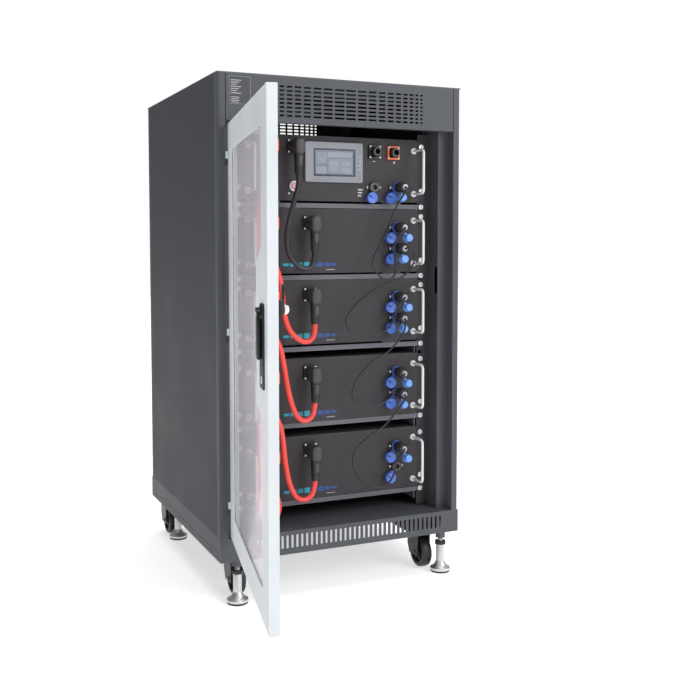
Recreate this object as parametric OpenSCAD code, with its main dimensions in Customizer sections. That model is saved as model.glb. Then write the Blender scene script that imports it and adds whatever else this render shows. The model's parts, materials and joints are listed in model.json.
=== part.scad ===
// Rack cabinet battery pack: a control unit above four battery modules, a framed glass door,
// four swivel casters and four levelling feet.
// Origin at floor level below the middle of the cabinet, +X to the right, +Y to the back, +Z up.

/* [Cabinet] */
// Width of the cabinet
cab_w = 600; // [596:2:620]
// Depth of the cabinet
cab_d = 640; // [636:2:800]
// Height of the cabinet body above its underside
cab_h = 1065; // [1060:5:1200]
// Height of the cabinet's underside above the floor
ground_gap = 97; // [97:1:100]
// Height of the slotted plinth
plinth_h = 52.5; // [50:0.5:53]
// Thickness of the cabinet's sheet metal
sheet = 1.5; // [1:0.5:2]

/* [Rack] */
// Height of a module or of the control unit
unit_h = 149; // [140:1:149]
// Width of a front panel without its ears
unit_w = 440; // [440:1:442]
// Depth of a battery module's case
case_d = 498; // [480:1:500]
// Depth of the control unit's case
control_d = 398; // [300:1:400]
// Distance from the front of the cabinet to the front panels
panel_y = 67; // [66:1:68]

/* [Door] */
// Width of the door from its hinge axis
door_w = 558; // [556:1:559]
// Depth of the door's folded edges
door_edge = 18; // [14:1:18]
// Angle at which the door stands open
door_open = 101.35; // [0:0.01:130]

/* [Running gear] */
// Diameter of a caster's wheel
wheel_d = 75; // [70:1:76]
// Distance from a caster's swivel axis to its wheel's axle
caster_trail = 28; // [22:1:28]
// Diameter of a foot's pad
pad_d = 48; // [40:1:48]

/* [Cables] */
// Diameter of a power cable
power_d = 12; // [10:0.5:12.5]
// Diameter of a communication cable
comm_d = 4.5; // [4:0.5:5]

/* [Hidden] */
$fn = 32;

dark = [0.16, 0.165, 0.175];
darker = [0.09, 0.09, 0.1];
pale = [0.85, 0.87, 0.9];
zinc = [0.72, 0.73, 0.75];
orange = [0.94, 0.37, 0.2];
blue = [0.3, 0.45, 0.85];

// A thin clearance and a cutting tool's overrun
gap = 0.3;
over = 1;

// Posts: the front face's inner edge, the rebate behind the door and the wall behind that
post_in = 282;
post_round = 8;
rebate_y = 30;
rebate_in = 257.5;
post_wall_y = 110;
roof_t = 2;
post_top = cab_h - roof_t;

// Header and its vent slots
header_z = 963;
header_half = 280;
vent_rows = 8;
vent_pitch = 9;
vent_mid_z = 1010;
vent_slot_h = 4.7;
vent_x = [14, 42, 68, 92.5, 114.5, 134.5, 152.4, 168.3, 182.6, 195];
vent_l = [24, 22, 20, 17.5, 15.7, 13.7, 11.7, 10, 8, 6];

// Plinth slots
plinth_slots = 21;
plinth_pitch = 11.93;

// Rails, ears and screws
rail_y = 74;
rail_in = 225;
rail_t = 2;
ear_t = 2;
ear_out = 241;
screw_x = 232.5;
screw_r = 3;
hole_pitch = 15.1;
low_screw = 27.5;
high_screw = low_screw + 7 * hole_pitch;
rear_rail_y = cab_d - rail_y;

// Undersides of the control unit and of modules 1 to 4, above the cabinet's underside
unit_z = [796.5, 630, 465, 284, 103];
// Height of each unit above the front lip of its shelf
shelf_gap = [5.5, 4.5, 5, 1.2, 1.2];
lip_h = 10.5;
wall = 1.5;
panel_t = 2.5;
case_half = unit_w / 2 - 2.5;
case_y = panel_y + panel_t;

// Connector places on the front panels: across, and above the unit's underside
module_neg = [-61.4, 116];
module_pos = [-163, 116];
comm_x = 163.6;
comm_high = 106;
comm_low = 56;
control_neg = [-100, 123.1];
control_pos = [-163, 123.1];
load_neg = [105.4, 117.5];
load_pos = [154.4, 116.5];
load_r = 7;
load_depth = 22;
load_end_y = 48;
comm_free = [102.7, 34.1];
comm_used = [163.5, 34.1];
button_place = [-98.4, 32.9];
socket_end_y = 56;
flange_half = 16;
flange_t = 6;
plug_axis_y = 33;
plug_drop = 66;
comm_socket_y = 57;
comm_nut_y = 30;
comm_end_y = 19;
comm_ports = [[comm_used[0], unit_z[0] + comm_used[1]],
              for (i = [1:4]) [comm_x, unit_z[i] + comm_high],
              for (i = [1:3]) [comm_x, unit_z[i] + comm_low]];
// Radius of a hanging dust cap, and sideways offset of the cap that hangs from each plug
cap_r = 13;
cap_aside = [-5, 11, 11, 11, 11, 0, 0, 0];
free_ports = [[comm_free[0], unit_z[0] + comm_free[1]], [comm_x, unit_z[4] + comm_low]];

// Handles
handle_x = 210;
handle_low = 20.5;
handle_high = 123.1;
handle_r = 4;
handle_reach = 51;
handle_bend = 9;

// Door, in its own frame: u across from the hinge axis, v inwards and z up
hinge_x = -279.2;
hinge_y = -1.9;
hinge_z = [120, 500, 880];
door_z = [58.8, 953.6];
skin_v = 1.9;
door_start = 1.2;
knuckle_r = 3;
knuckle_l = 15;
pin_r = 1.75;
return_w = 10;
lock_u = 503;
lock_z = 590;
spindle_r = 5;
cam_l = 43;
cam_disc_r = 8.5;
arm_v = 34.2;
cam_end = 38;
window_r = 14;

// Casters and feet, from the cabinet's middle and from its front
caster_places = [[-243, 95], [232, 90], [-262, 613], [262, 613]];
foot_places = [[-258, 12], [258, 12], [-256, 529], [256, 529]];
wheel_r = wheel_d / 2;
wheel_z = wheel_r + 1;
wheel_half = 13;
axle_r = 4;
kingpin_r = 5;
stud_r = 6;
run = 0.05;

// Cable routes: across, behind the front face and above the underside
negative_route = [[-100, 33, 853.6], [-102, 32, 828], [-112, 30, 795], [-122, 30, 760],
                  [-130, 30, 720], [-129, 30, 690], [-119, 30, 664], [-98, 30, 645],
                  [-77, 30, 642], [-65, 32, 658], [-61.4, 33, 680]];
link_1_2_route = [[-163, 33, 680], [-159, 33, 656], [-147, 33, 622], [-141, 33, 585],
                  [-137, 33, 545], [-126, 33, 508], [-106, 33, 484], [-82, 33, 475],
                  [-65, 33, 488], [-61.4, 33, 515]];
link_2_3_route = [[-163, 33, 515], [-159, 33, 492], [-146, 33, 462], [-138, 33, 425],
                  [-131, 33, 385], [-122, 33, 345], [-109, 33, 310], [-89, 33, 294],
                  [-69, 33, 304], [-61.4, 33, 334]];
link_3_4_route = [[-163, 33, 334], [-159, 33, 312], [-146, 33, 282], [-140, 33, 245],
                  [-135, 33, 200], [-125, 33, 152], [-109, 33, 120], [-88, 33, 111],
                  [-69, 33, 123], [-61.4, 33, 153]];
positive_route = [[-163, 33, 153], [-157, 33, 128], [-150, 33, 102], [-158, 33, 79],
                  [-177, 33, 72], [-192, 33, 88], [-196, 33, 120], [-196, 33, 200],
                  [-195, 33, 320], [-196, 33, 440], [-195, 33, 560], [-196, 33, 680],
                  [-195, 33, 760], [-188, 33, 800], [-170, 33, 828], [-163, 33, 853.6]];
comm_1_route = [[163.5, 19, 830.6], [162, 11, 825], [153, 11, 810], [141, 13, 792],
                [130, 18, 765], [120, 24, 730], [101, 28, 695], [85, 28, 664], [84, 28, 645],
                [100, 26, 622], [120, 27, 611], [145, 34, 627], [146, 38, 655],
                [143, 34, 690], [146, 20, 716], [156, 11, 729], [163.6, 19, 736]];
comm_2_route = [[163.6, 19, 686], [169, 11, 688], [182, 13, 680], [183, 14, 652],
                [160, 18, 623], [116, 24, 601], [76, 28, 583], [40, 30, 556], [15, 30, 522],
                [27, 30, 496], [63, 28, 482], [110, 28, 490], [138, 28, 518],
                [143, 22, 546], [153, 11, 563], [163.6, 19, 571]];
comm_3_route = [[163.6, 19, 521], [161, 11, 512], [154, 13, 485], [124, 20, 448],
                [77, 26, 419], [46, 30, 385], [31, 30, 351], [46, 30, 326], [81, 28, 316],
                [115, 28, 325], [138, 28, 343], [144, 22, 366], [153, 11, 382],
                [163.6, 19, 390]];
comm_4_route = [[163.6, 19, 340], [161, 11, 332], [146, 13, 310], [112, 22, 270],
                [71, 28, 243], [39, 30, 214], [34, 30, 179], [52, 28, 142], [88, 26, 122],
                [122, 24, 130], [138, 24, 152], [144, 22, 182], [153, 11, 201],
                [163.6, 19, 209]];

// A sweep along a smooth curve through a route's points
function curve(a, b, c, d, t) = 0.5 * (2 * b + (c - a) * t + (2 * a - 5 * b + 4 * c - d) * t * t
                                       + (3 * b - a - 3 * c + d) * t * t * t);
function on_route(r, s) = let (n = len(r) - 1, i = min(floor(s), n - 1))
    curve(r[max(i - 1, 0)], r[i], r[i + 1], r[min(i + 2, n)], s - i);
function unit(v) = v / norm(v);
function heading(p, i) = unit(p[min(i + 1, len(p) - 1)] - p[max(i - 1, 0)]);
function carried(p, n, i = 0) = i == len(p) ? [] :
    let (t = heading(p, i), m = unit(n - (n * t) * t)) concat([m], carried(p, m, i + 1));

// Corners of a door window that is larger by m all round, narrower beside the lock
function window(m) = [[70 - m, 113 - m], [490 + m, 113 - m], [490 + m, 390 + m / 2],
                      [428 + m, 433 + m / 2], [428 + m, 668 - m / 2], [490 + m, 697 - m / 2],
                      [490 + m, 895 + m], [70 - m, 895 + m]];
// Points of an outline whose corners are rounded to radius r
function rounded(p, r) = [for (i = [0:len(p) - 1])
    let (n = len(p), b = p[i], u = unit(p[(i + n - 1) % n] - b), w = unit(p[(i + 1) % n] - b),
         half = acos(u * w) / 2, mid = b + unit(u + w) * r / sin(half),
         s = b + u * r / tan(half) - mid, e = b + w * r / tan(half) - mid)
    for (k = [0:4]) mid + r * unit(s * (4 - k) + e * k)];

// Places things from the cabinet's middle, its front face and its underside
module cabinet() { translate([0, -cab_d / 2, ground_gap]) children(); }

module on_door() {
    cabinet() translate([hinge_x, hinge_y, 0]) rotate([0, 0, -door_open]) children();
}

module both_sides() {
    for (side = [-1, 1]) scale_x(side) children();
}

module scale_x(side) {
    if (side < 0) mirror([1, 0, 0]) children();
    else children();
}

// A box given by its lowest and highest corner
module block(low, high) { translate(low) cube(high - low); }

// A cylinder along +Y from y0 to y1
module rod_y(x, z, y0, y1, r) { translate([x, y0, z]) rotate([-90, 0, 0]) cylinder(r = r, h = y1 - y0); }

module vent_grid(y) {
    both_sides() for (row = [0:vent_rows - 1], col = [0:len(vent_x) - 1])
        translate([vent_x[col] - vent_l[col] / 2, y - over,
                   vent_mid_z + (row - (vent_rows - 1) / 2) * vent_pitch - vent_slot_h / 2])
            cube([vent_l[col], sheet + 2 * over, vent_slot_h]);
}

// Cabinet

module base_frame() color(dark) cabinet() {
    plate_t = 4;
    slot = [5, 3 * over, 29];
    slot_z = 14;
    difference() {
        union() {
            difference() {
                block([-cab_w / 2, 0, 0], [cab_w / 2, cab_d, plinth_h]);
                block([sheet - cab_w / 2, sheet, -over], [cab_w / 2 - sheet, cab_d - sheet, plinth_h - 2]);
            }
            for (i = [0:3]) {
                foot = foot_places[i];
                side = sign(foot[0]);
                far = cab_w / 2 - sheet;
                y0 = foot[1] < cab_d / 2 ? sheet : foot[1] - 25;
                scale_x(side) block([183, y0, 0], [far, y0 + 136, plate_t]);
                translate([foot[0], foot[1], -13]) cylinder(r = 13, h = 13, $fn = 6);
            }
        }
        for (foot = foot_places) translate([foot[0], foot[1], -20]) cylinder(r = stud_r + run, h = 30);
        for (y = [0, cab_d - sheet], i = [-plinth_slots:plinth_slots])
            translate([i * plinth_pitch - slot[0] / 2, y - over / 2, slot_z]) cube(slot);
        both_sides() block([cab_w / 2 - 0.5, 43, 15], [cab_w / 2 + over, 596, 40]);
    }
}

module roof_panel() color(dark) cabinet() {
    rib_h = 12;
    block([-cab_w / 2, 0, post_top], [cab_w / 2, cab_d, cab_h]);
    for (y = [180, 420]) block([-240, y, post_top - rib_h], [240, y + 40, post_top]);
}

module side_panel(side) color(dark) cabinet() scale_x(side) {
    block([cab_w / 2 - sheet, 20, plinth_h], [cab_w / 2, cab_d - 20, post_top]);
    for (z = [300, 800]) block([cab_w / 2 - 10, 200, z], [cab_w / 2 - sheet, cab_d - 200, z + 30]);
}

module side_panel_left() side_panel(-1);

module side_panel_right() side_panel(1);

module rear_panel() color(dark) cabinet() difference() {
    block([-post_in, cab_d - sheet, plinth_h], [post_in, cab_d, post_top]);
    vent_grid(cab_d - sheet);
}

// A folded post: rounded outer corner, door rebate and the wall that carries the rails
module post_profile() {
    side_y = 20;
    outer = cab_w / 2;
    translate([post_in, 0]) square([outer - post_round - post_in, sheet]);
    intersection() {
        translate([outer - post_round, post_round]) difference() {
            circle(r = post_round);
            circle(r = post_round - sheet);
        }
        translate([outer - post_round, 0]) square(post_round);
    }
    translate([outer - sheet, post_round]) square([sheet, side_y - post_round]);
    translate([outer - 2 * sheet, side_y - 2]) square([sheet, 18]);
    translate([post_in, 0]) square([sheet, rebate_y + sheet]);
    translate([rebate_in, rebate_y]) square([post_in + sheet - rebate_in, sheet]);
    translate([rebate_in, rebate_y]) square([sheet, post_wall_y - rebate_y]);
    translate([outer - 2 * sheet, side_y - 2]) square([2 * sheet, 2]);
}

module corner_posts() color(dark) cabinet() difference() {
    both_sides() for (back = [0, 1]) translate([0, back * cab_d, plinth_h]) mirror([0, back, 0])
        linear_extrude(post_top - plinth_h) post_profile();
    // Way in for the lock's cam, behind the right-hand rebate
    block([rebate_in - over, rebate_y + sheet, lock_z - 12], [rebate_in + sheet + over, 48, lock_z + 52]);
}

module header_panel() color(dark) cabinet() {
    depth = 20;
    difference() {
        block([-header_half, 0, header_z], [header_half, depth, post_top]);
        block([sheet - header_half, sheet, header_z + sheet],
              [header_half - sheet, depth + over, post_top - sheet]);
        vent_grid(0);
    }
    both_sides() for (z = [header_z + 12, post_top - 27])
        block([header_half - sheet, depth - 8, z], [post_in, depth, z + 15]);
}

// Heights of the square holes in a rail
rail_holes = [for (i = [0:4]) each concat([unit_z[i] - shelf_gap[i] - lip_h / 2],
    [for (k = [0:(i == 2 || i == 3 ? 9 : 8)]) unit_z[i] + low_screw + (k - 1) * hole_pitch])];

module rack_rails() color(darker) cabinet() {
    hole = 9.5;
    both_sides() for (back = [0, 1])
        translate([0, back ? rear_rail_y : rail_y, 0]) mirror([0, back, 0]) {
            difference() {
                block([rail_in, 0, 56], [rebate_in, rail_t, header_z - 3]);
                for (z = rail_holes)
                    translate([screw_x - hole / 2, -over, z - hole / 2]) cube([hole, rail_t + 2 * over, hole]);
            }
            block([rebate_in - rail_t, 0, 56], [rebate_in, 30, header_z - 3]);
        }
}

module ear(x0, y0, z0, z1, holes) {
    difference() {
        block([x0, y0, z0], [ear_out, y0 + ear_t, z1]);
        for (z = holes) rod_y(screw_x, z, y0 - over, y0 + ear_t + over, screw_r + gap);
    }
}

module module_shelves() color([0.3, 0.31, 0.33]) cabinet() for (i = [0:4]) {
    top = unit_z[i] - shelf_gap[i];
    hole = top - lip_h / 2;
    block([-unit_w / 2, panel_y, top - lip_h], [unit_w / 2, rail_y, top]);
    block([-unit_w / 2, rail_y, top - 2], [unit_w / 2, rear_rail_y, top]);
    both_sides() {
        ear(unit_w / 2, rail_y - ear_t, top - lip_h, top, [hole]);
        block([unit_w / 2 - 2, rail_y, top - 30], [unit_w / 2, rear_rail_y, top]);
        block([unit_w / 2 - 2, rear_rail_y, top - 30], [unit_w / 2, rear_rail_y + ear_t, top]);
        ear(unit_w / 2, rear_rail_y, top - lip_h, top, [hole]);
        block([130, rail_y, top], [180, rail_y + 380, unit_z[i]]);
    }
}

// A pan-head screw along +Y with its cage nut, its head's seat at y = 0
module rack_screw() {
    rotate([-90, 0, 0]) difference() {
        translate([0, 0, -3.5]) cylinder(r = 6, h = 3.5);
        for (a = [0, 90]) rotate([0, 0, a]) translate([-3.2, -0.6, -3.5 - over]) cube([6.4, 1.2, 2 + over]);
    }
    rod_y(0, 0, 0, 16, screw_r);
    block([-6, ear_t + rail_t, -6], [6, ear_t + rail_t + 7, 6]);
}

module rack_screws() color(zinc) cabinet() both_sides() for (i = [0:4]) {
    for (z = [low_screw, high_screw]) translate([screw_x, rail_y - ear_t, unit_z[i] + z]) rack_screw();
    for (back = [0, 1]) translate([screw_x, back ? rear_rail_y + ear_t : rail_y - ear_t,
                                   unit_z[i] - shelf_gap[i] - lip_h / 2])
        mirror([0, back, 0]) rack_screw();
}

module hinge_brackets() color(zinc) cabinet() for (z = hinge_z) {
    translate([hinge_x, hinge_y, z - knuckle_l]) cylinder(r = knuckle_r, h = knuckle_l);
    translate([hinge_x, hinge_y, z - knuckle_l]) cylinder(r = pin_r, h = 2 * knuckle_l + 2);
    block([-post_in, hinge_y, z - knuckle_l], [1.4 - post_in, 22, z]);
}

// Rack units

// A folded case, open at the front, with its lid
module unit_case(i, depth) color(dark) cabinet() {
    lid = 2;
    back = case_y + depth;
    translate([0, 0, unit_z[i]]) {
        difference() {
            block([-case_half, case_y, 0], [case_half, back, unit_h - lid]);
            block([wall - case_half, case_y - over, wall], [case_half - wall, back - wall, unit_h]);
        }
        block([-case_half, case_y, unit_h - lid], [case_half, back, unit_h]);
    }
}

module control_unit_case() unit_case(0, control_d);

module module_case_1() unit_case(1, case_d);

module module_case_2() unit_case(2, case_d);

module module_case_3() unit_case(3, case_d);

module module_case_4() unit_case(4, case_d);

// A front panel with returned sides and screwed ears
module unit_front() {
    screws = [low_screw, high_screw];
    block([-unit_w / 2, panel_y, 0], [unit_w / 2, case_y, unit_h]);
    both_sides() {
        block([unit_w / 2 - 2, panel_y, 0], [unit_w / 2, rail_y, unit_h]);
        ear(unit_w / 2, rail_y - ear_t, 4, unit_h - 4, screws);
    }
}

module panel_hole(place, r) { rod_y(place[0], place[1], panel_y - over, case_y + over, r); }

module control_unit_front() color(darker) cabinet() translate([0, 0, unit_z[0]]) difference() {
    unit_front();
    for (p = [control_neg, control_pos, load_neg, load_pos]) panel_hole(p, 10);
    for (p = [comm_free, comm_used]) panel_hole(p, 8);
    panel_hole(button_place, 8);
    block([-66, panel_y - over, 50], [66, case_y + over, 129]);
}

// The ring around the push button
module button_ring() difference() {
    rod_y(button_place[0], button_place[1], 62, panel_y, 12);
    rod_y(button_place[0], button_place[1], 60, panel_y + over, 8);
}

module module_fronts() color(darker) cabinet() for (i = [1:4]) translate([0, 0, unit_z[i]]) difference() {
    unit_front();
    for (p = [module_neg, module_pos]) panel_hole(p, 10);
    for (z = [comm_high, comm_low]) panel_hole([comm_x, z], 8);
}

module control_unit_contactors() color("dimgray") cabinet() translate([0, 0, unit_z[0] + wall]) {
    for (x = [-150, -80, 80]) {
        block([x, 230, 0], [x + 55, 310, 70]);
        rod_y(x + 27, 50, 225, 230, 8);
    }
    block([-60, 340, 0], [60, 440, 45]);
}

module circuit_boards() color("darkgreen") cabinet() {
    for (i = [1:4]) block([-190, 92, unit_z[i] + 10], [190, 94, unit_z[i] + 130]);
    block([-190, 110, unit_z[0] + 20], [190, 112, unit_z[0] + 125]);
}

hmi = [-73, 43.1, 73, 135.8];

module hmi_bezel() color([0.62, 0.64, 0.67]) cabinet() translate([0, 0, unit_z[0]]) {
    button_ring();
    difference() {
        block([hmi[0], panel_y - 6, hmi[1]], [hmi[2], panel_y, hmi[3]]);
        block([-52, panel_y - 6 - over, 57], [54, panel_y + over, 121]);
    }
    difference() {
        block([-65, panel_y, 51], [65, 102, 128]);
        block([-52, panel_y - over, 57], [54, 98, 121]);
    }
}

module hmi_screen() color([0.35, 0.45, 0.55]) cabinet() translate([0, 0, unit_z[0]])
    block([-52, panel_y - 4.5, 57], [54, panel_y - 1, 121]);

module power_button() color("white") cabinet() {
    z = unit_z[0] + button_place[1];
    rod_y(button_place[0], z, 60, 66.4, 7.5);
    rod_y(button_place[0], z, 66.4, 84, 5);
}

// Cells stand in two columns across each module
module battery_cells() color("slategray") cabinet() for (i = [1:4], col = [-1, 1], row = [0:7])
    translate([col * 83 - 80, 104 + row * 51, unit_z[i] + wall]) cube([160, 50, 119]);

module busbars() color("peru") cabinet() for (i = [1:4]) {
    z = unit_z[i] + wall + 119;
    for (col = [-1, 1], row = [0:6]) {
        x = col * 83 + (row % 2 == 0 ? 1 : -1) * 45;
        block([x - 15, 104 + row * 51 + 15, z], [x + 15, 104 + row * 51 + 86, z + 3]);
    }
    block([-60, 470, z], [60, 498, z + 3]);
}

module handle() {
    mid_y = panel_y - handle_reach;
    grip = handle_high - handle_low;
    for (z = [0, grip]) {
        rod_y(0, z, panel_y - 2.5, panel_y, 7.5);
        rod_y(0, z, mid_y + handle_bend, panel_y - 2, handle_r);
    }
    translate([0, mid_y, handle_bend]) cylinder(r = handle_r, h = grip - 2 * handle_bend);
    for (top = [0, 1]) translate([0, mid_y + handle_bend, top ? grip - handle_bend : handle_bend])
        mirror([0, 0, top]) intersection() {
            rotate([0, 90, 0]) rotate_extrude() translate([handle_bend, 0]) circle(r = handle_r);
            block([-20, -20, -20], [20, 0, 0]);
        }
}

module handles() color("white") cabinet() both_sides() for (z = unit_z)
    translate([handle_x, 0, z + handle_low]) handle();

// A panel socket: square flange, collar and the body behind the panel
module power_socket(place, free) {
    translate([place[0], 0, place[1]]) difference() {
        union() {
            block([-flange_half, panel_y - flange_t, -flange_half], [flange_half, panel_y, flange_half]);
            rod_y(0, 0, free ? load_end_y : socket_end_y, panel_y, 11);
            rod_y(0, 0, panel_y - 1, 88, 9.8);
        }
        if (free) rod_y(0, 0, load_end_y - over, load_end_y + load_depth, load_r);
    }
}

module power_sockets() color(darker) cabinet() {
    for (i = [1:4], p = [module_neg, module_pos]) translate([0, 0, unit_z[i]]) power_socket(p, false);
    translate([0, 0, unit_z[0]]) {
        for (p = [control_neg, control_pos]) power_socket(p, false);
        for (p = [load_neg, load_pos]) power_socket(p, true);
    }
}

// An elbow plug whose head faces the panel and whose barrel hangs down
module power_plug(place) translate([place[0], 0, place[1]]) {
    rod_y(0, 0, 18, socket_end_y, 15);
    translate([0, plug_axis_y, -40]) cylinder(r = 11.5, h = 40);
    translate([0, plug_axis_y, -plug_drop]) cylinder(r1 = 8.5, r2 = 11.5, h = plug_drop - 40);
}

module negative_plugs() color(darker) cabinet() {
    power_plug(control_neg + [0, unit_z[0]]);
    for (i = [1:4]) power_plug(module_neg + [0, unit_z[i]]);
}

module positive_plugs() color(orange) cabinet() {
    power_plug(control_pos + [0, unit_z[0]]);
    for (i = [1:4]) power_plug(module_pos + [0, unit_z[i]]);
}

module comm_sockets() color(darker) cabinet() for (p = concat(comm_ports, free_ports))
    translate([p[0], 0, p[1]]) {
        block([-20, panel_y - 2.5, -10], [20, panel_y, 10]);
        rod_y(0, 0, comm_socket_y, 86, 7.8);
        rod_y(0, 0, comm_socket_y, panel_y, 10.5);
    }

module comm_plugs() color(darker) cabinet() for (p = comm_ports) {
    rod_y(p[0], p[1], comm_nut_y, comm_socket_y, 12.5);
    rod_y(p[0], p[1], comm_end_y, comm_nut_y, 8.5);
}

// Round caps that hang beside and below the ports on short straps
module dust_caps() color(blue) cabinet() {
    for (p = concat(comm_ports, free_ports)) {
        aside = p[0] < comm_x - 20 ? -9 : -19.5;
        rod_y(p[0] + aside, p[1] - 25, 50, 63, cap_r);
        block([p[0] + aside - 2, 62.5, p[1] - 25], [p[0] + aside + 2, panel_y - 2.5, p[1] - 8.5]);
    }
    for (i = [0:len(comm_ports) - 1]) translate([comm_ports[i][0], 0, comm_ports[i][1]]) {
        rod_y(cap_aside[i], -25, 18, 34, 9);
        block([cap_aside[i] - 2, 32, -25], [cap_aside[i] + 2, 34, cap_aside[i] > 5 ? -9 : -13]);
        difference() {
            rod_y(0, 0, 32, 34, 14);
            rod_y(0, 0, 31, 35, 12.6);
        }
    }
}

// Cables

// A tube with flat ends along a route, its rings shared evenly between the route's points
module cable(route, d, rings, sides, start) cabinet() {
    path = [for (i = [0:rings]) on_route(route, i * (len(route) - 1) / rings)];
    normals = carried(path, start);
    skin = [for (i = [0:rings], k = [0:sides - 1])
        let (t = heading(path, i), a = 360 * k / sides)
        path[i] + d / 2 * (cos(a) * normals[i] + sin(a) * cross(t, normals[i]))];
    first = [for (k = [0:sides - 1]) k];
    last = [for (k = [0:sides - 1]) rings * sides + sides - 1 - k];
    sleeve = [for (i = [0:rings - 1], k = [0:sides - 1])
        let (b = i * sides, n = (k + 1) % sides)
        [b + k, b + sides + k, b + sides + n, b + n]];
    polyhedron(points = skin, faces = concat([first, last], sleeve), convexity = 6);
}

module cable_negative() color(darker) cable(negative_route, power_d, 9, 10, [0, 1, 0]);

module cable_link_1_2() color("tomato") cable(link_1_2_route, power_d, 8, 10, [0, 1, 0]);

module cable_link_2_3() color("tomato") cable(link_2_3_route, power_d, 8, 10, [0, 1, 0]);

module cable_link_3_4() color("tomato") cable(link_3_4_route, power_d, 8, 10, [0, 1, 0]);

module cable_positive() color("tomato") cable(positive_route, power_d, 18, 10, [0, 1, 0]);

module cable_comm_1() color(darker) cable(comm_1_route, comm_d, 16, 8, [1, 0, 0]);

module cable_comm_2() color(darker) cable(comm_2_route, comm_d, 15, 8, [1, 0, 0]);

module cable_comm_3() color(darker) cable(comm_3_route, comm_d, 13, 8, [1, 0, 0]);

module cable_comm_4() color(darker) cable(comm_4_route, comm_d, 13, 8, [1, 0, 0]);

// Door

// Stands an outline drawn in u and z up in the door's plane, from depth v0 to v1
module slab(v0, v1) { translate([0, v1, 0]) rotate([90, 0, 0]) linear_extrude(v1 - v0) children(); }

module door_frame() color(pale) on_door() {
    back = skin_v + door_edge;
    difference() {
        union() {
            difference() {
                block([door_start, skin_v, door_z[0]], [door_w, back, door_z[1]]);
                block([door_start + sheet, skin_v + sheet, door_z[0] + sheet],
                      [door_w - sheet, back - sheet, door_z[1] - sheet]);
                block([door_start + return_w, skin_v + sheet, door_z[0] + return_w],
                      [door_w - return_w, back + over, door_z[1] - return_w]);
            }
            for (z = hinge_z) translate([0, 0, z + gap]) cylinder(r = knuckle_r, h = knuckle_l);
        }
        slab(skin_v - over, skin_v + sheet + over) polygon(rounded(window(0), window_r));
        rod_y(lock_u, lock_z, skin_v - over, skin_v + sheet + over, 8);
        for (z = hinge_z) {
            translate([0, 0, z - knuckle_l - gap]) cylinder(r = knuckle_r + 0.4, h = knuckle_l + 2 * gap);
            translate([0, 0, z - over]) cylinder(r = pin_r + run, h = knuckle_l + 2 * over + 2);
        }
    }
}

module door_gasket() color(darker) on_door() slab(skin_v + sheet, skin_v + sheet + 1) difference() {
    polygon(rounded(window(11), window_r + 11));
    polygon(rounded(window(1), window_r + 1));
}

module door_glass() color([0.55, 0.52, 0.6, 0.5]) on_door()
    slab(skin_v + sheet + 1, skin_v + sheet + 4) polygon(rounded(window(11), window_r + 11));

module lock_escutcheon() color(darker) on_door() {
    in = skin_v + sheet;
    difference() {
        union() {
            block([lock_u - 22, skin_v - 2.5, 458], [lock_u + 22, skin_v, 601]);
            rod_y(lock_u, lock_z, skin_v - 1, in + 1, 7.5);
            block([lock_u - 7.5, in, lock_z - 14], [lock_u + 9, 30, lock_z + 14]);
        }
        rod_y(lock_u, lock_z, skin_v - 5, 40, spindle_r + run);
    }
    block([lock_u + 9, in, lock_z - 10], [lock_u + 31, in + 3, lock_z + 18]);
    translate([lock_u + 25, 27, lock_z - 8]) cylinder(r = 6, h = 26);
    block([lock_u + 22, in, lock_z - 4], [lock_u + 28, 26, lock_z + 14]);
}

lever_v = -6;
lever_z = lock_z;

module lock_cam() color(zinc) on_door() {
    head = skin_v - 2.5 - gap;
    rod_y(lock_u, lock_z, head - 1, cam_end, spindle_r);
    rod_y(lock_u, lock_z, head - 2, head, 10);
    difference() {
        for (u = [-11, 8]) block([lock_u + u, lever_v - 3, lock_z - 4], [lock_u + u + 3, head, lock_z + 4]);
        translate([lock_u - 20, lever_v, lever_z]) rotate([0, 90, 0]) cylinder(r = 1.5, h = 40);
    }
    translate([lock_u - 11, lever_v, lever_z]) rotate([0, 90, 0]) cylinder(r = 1.5, h = 22);
    rod_y(lock_u, lock_z, 31, arm_v, cam_disc_r);
    block([lock_u - 6, arm_v, lock_z - cam_disc_r], [lock_u + 6, cam_end, lock_z + cam_l]);
}

module lock_lever() color(darker) on_door() difference() {
    union() {
        translate([lock_u - 7.5, lever_v, lever_z]) rotate([0, 90, 0]) cylinder(r = 2.8, h = 15);
        block([lock_u - 7.5, lever_v - 2.6, lock_z - 14], [lock_u + 7.5, lever_v + 1.4, lock_z - 1.8]);
        block([lock_u - 12, lever_v - 2.6, 508], [lock_u + 12, lever_v + 4, lock_z - 14]);
    }
    translate([lock_u - 10, lever_v, lever_z]) rotate([0, 90, 0]) cylinder(r = 1.55, h = 20);
}

// Running gear

// Bolted top plates, each with its bearing cup and its rivetted kingpin
module caster_plates() color(zinc) cabinet() for (p = caster_places) translate([p[0], p[1], 0]) {
    block([-35, -26, -3], [35, 26, 0]);
    translate([0, 0, -11]) cylinder(r = 22, h = 8);
    translate([0, 0, -17]) cylinder(r = kingpin_r, h = 17);
    translate([0, 0, -19.5]) cylinder(r = 9, h = 2.5);
    for (x = [-28, 28], y = [-19, 19]) translate([x, y, -7]) cylinder(r = 6, h = 5, $fn = 6);
}

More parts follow.
